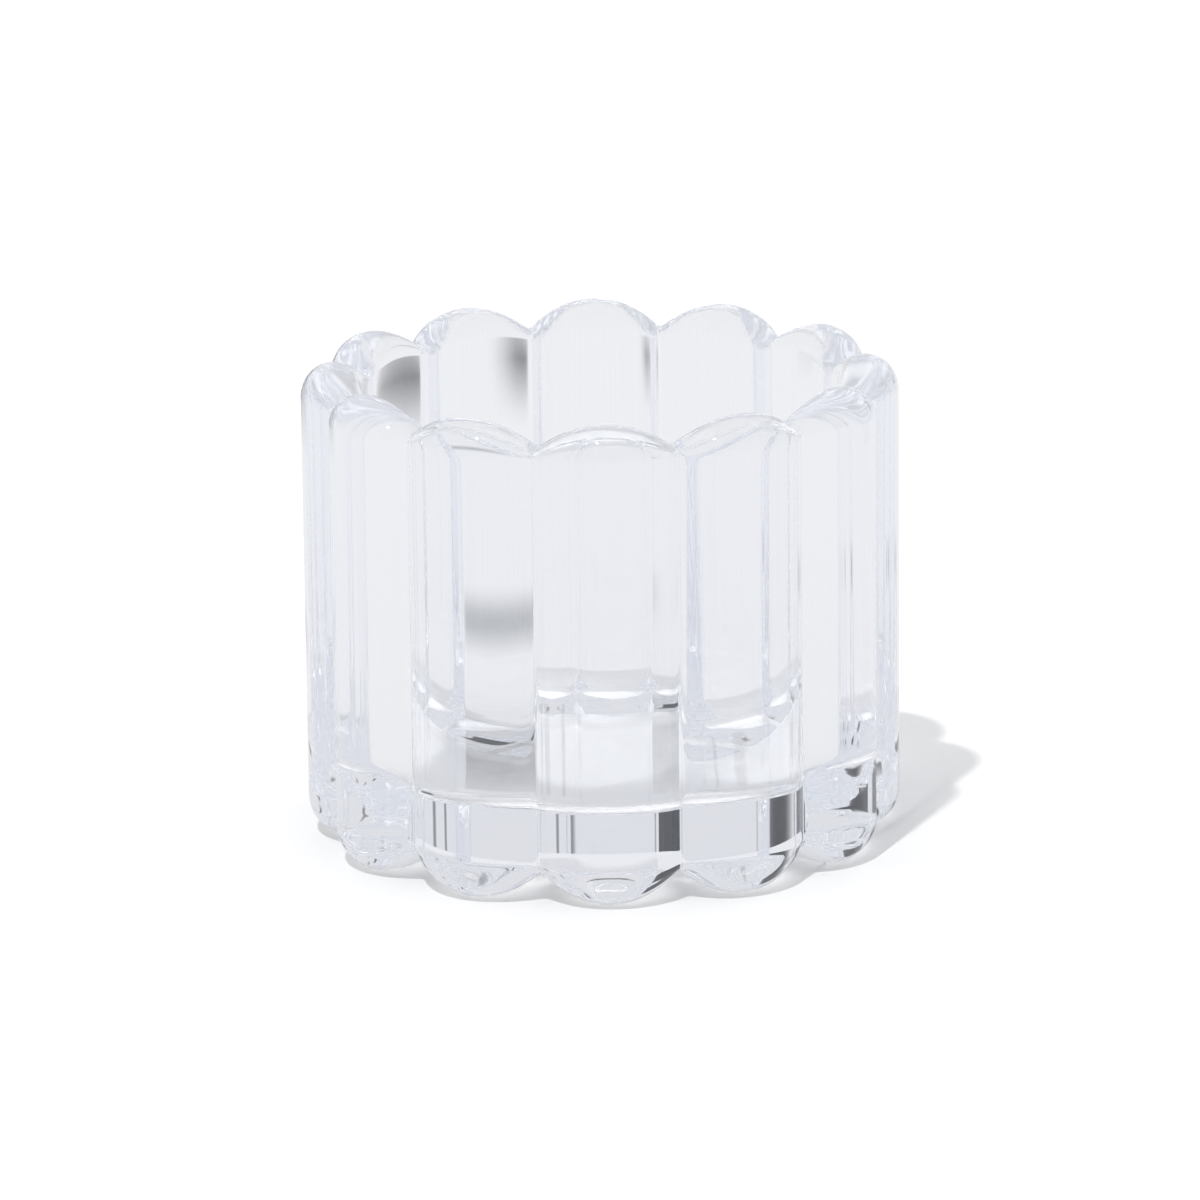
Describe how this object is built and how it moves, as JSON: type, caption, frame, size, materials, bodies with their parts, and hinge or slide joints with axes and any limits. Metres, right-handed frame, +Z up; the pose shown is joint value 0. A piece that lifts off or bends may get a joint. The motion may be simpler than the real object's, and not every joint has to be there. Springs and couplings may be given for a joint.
{
  "type": "tealight holder",
  "caption": "Round holder of thick clear pressed glass with a lobed outside, domed rim and feet, and one plain round well that takes a tealight.",
  "frame": {"origin": "on the holder's axis, at the height of the surface that its feet stand on", "axes": "+Z up along the axis of the well, out of its mouth; one lobe faces -Y"},
  "size_m": [0.08, 0.08, 0.0648],
  "materials": {
    "clear_glass": "clear pressed glass, fire polished, very faintly cool in the thick parts"
  },
  "bodies": {
    "root": {"glass_body": "clear_glass"}
  },
  "joints": []
}
